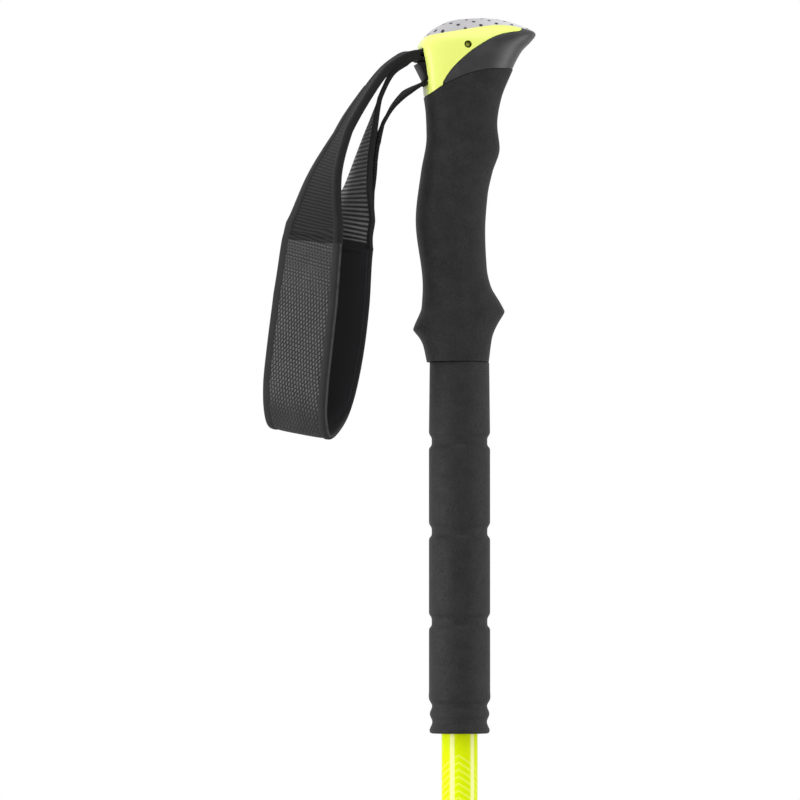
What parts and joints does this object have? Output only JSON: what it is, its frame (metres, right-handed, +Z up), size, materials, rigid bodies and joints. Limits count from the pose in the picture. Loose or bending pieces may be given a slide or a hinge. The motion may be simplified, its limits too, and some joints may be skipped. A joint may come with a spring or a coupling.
{
  "type": "telescopic trekking pole",
  "caption": "Telescoping hiking pole with a moulded head, foam grips, a padded wrist strap, lever locks, a trail basket and a hard tip, stored collapsed.",
  "frame": {"origin": "on the pole's axis at the middle of the hand grip, where a hand holds it", "axes": "+Z up along the pole toward the head, +X toward the nose of the head, wrist strap toward -X"},
  "size_m": [0.1349, 0.0569, 0.6815],
  "materials": {
    "head_plastic": "satin moulded plastic",
    "pad_rubber": "soft matt rubber with small dark dots",
    "palm_rubber": "smooth satin rubber",
    "foam": "fine closed-cell foam",
    "webbing": "woven webbing",
    "lining": "smooth lining cloth",
    "black_plastic": "moulded plastic",
    "aluminium": "satin anodised",
    "steel": "machined",
    "shaft_lime": "gloss lacquer over aluminium tube, with pale stripes and fine chevrons"
  },
  "bodies": {
    "pole": {"head_shell": "head_plastic", "top_pad": "pad_rubber", "palm_rest": "palm_rubber", "strap_pin": "steel", "strap_anchor": "webbing", "strap_clamped_end": "webbing", "grip_foam": "foam", "extension_foam": "foam", "upper_shaft": "shaft_lime", "upper_lock_collar": "black_plastic", "upper_lock_axle": "steel", "upper_lock_bolt": "steel"},
    "wedge": {"strap_wedge": "black_plastic"},
    "strap": {"strap_outer_web": "webbing", "strap_inner_web": "webbing", "strap_pad": "webbing", "strap_lining": "lining", "strap_near_binding": "webbing", "strap_far_binding": "webbing", "strap_tail": "webbing"},
    "upper_lever": {"upper_lock_lever": "aluminium"},
    "upper_nut": {"upper_lock_nut": "black_plastic"},
    "middle": {"middle_shaft": "shaft_lime", "middle_end_plug": "black_plastic", "lower_lock_collar": "black_plastic", "lower_lock_axle": "steel", "lower_lock_bolt": "steel"},
    "lower_lever": {"lower_lock_lever": "aluminium"},
    "lower_nut": {"lower_lock_nut": "black_plastic"},
    "lower": {"lower_shaft": "shaft_lime", "lower_end_plug": "black_plastic", "tip_ferrule": "black_plastic", "basket": "black_plastic", "tip": "steel"}
  },
  "joints": [
    {"name": "wedge_slide", "type": "slide", "parent": "pole", "child": "wedge", "axis": [-0.9843, 0, -0.1765], "range_m": [0, 0.004]},
    {"name": "strap_swing", "type": "hinge", "parent": "pole", "child": "strap", "pos_m": [-0.0205, 0, 0.0719], "axis": [0, 1, 0], "range_deg": [-8, 80], "deforming": ["strap_outer_web", "strap_inner_web", "strap_tail"]},
    {"name": "upper_lever_open", "type": "hinge", "parent": "pole", "child": "upper_lever", "pos_m": [-0.0118, -0.0167, -0.413], "axis": [0, 0, 1], "range_deg": [0, 110]},
    {"name": "upper_nut_turn", "type": "hinge", "parent": "pole", "child": "upper_nut", "pos_m": [0.00885, -0.0167, -0.413], "axis": [1, 0, 0], "range_deg": [-180, 180]},
    {"name": "middle_slide", "type": "slide", "parent": "pole", "child": "middle", "axis": [0, 0, -1], "range_m": [0, 0.33]},
    {"name": "lower_lever_open", "type": "hinge", "parent": "middle", "child": "lower_lever", "pos_m": [-0.0118, -0.0157, -0.46], "axis": [0, 0, 1], "range_deg": [0, 110]},
    {"name": "lower_nut_turn", "type": "hinge", "parent": "middle", "child": "lower_nut", "pos_m": [0.00885, -0.0157, -0.46], "axis": [1, 0, 0], "range_deg": [-180, 180]},
    {"name": "lower_slide", "type": "slide", "parent": "middle", "child": "lower", "axis": [0, 0, -1], "range_m": [0, 0.33]}
  ]
}
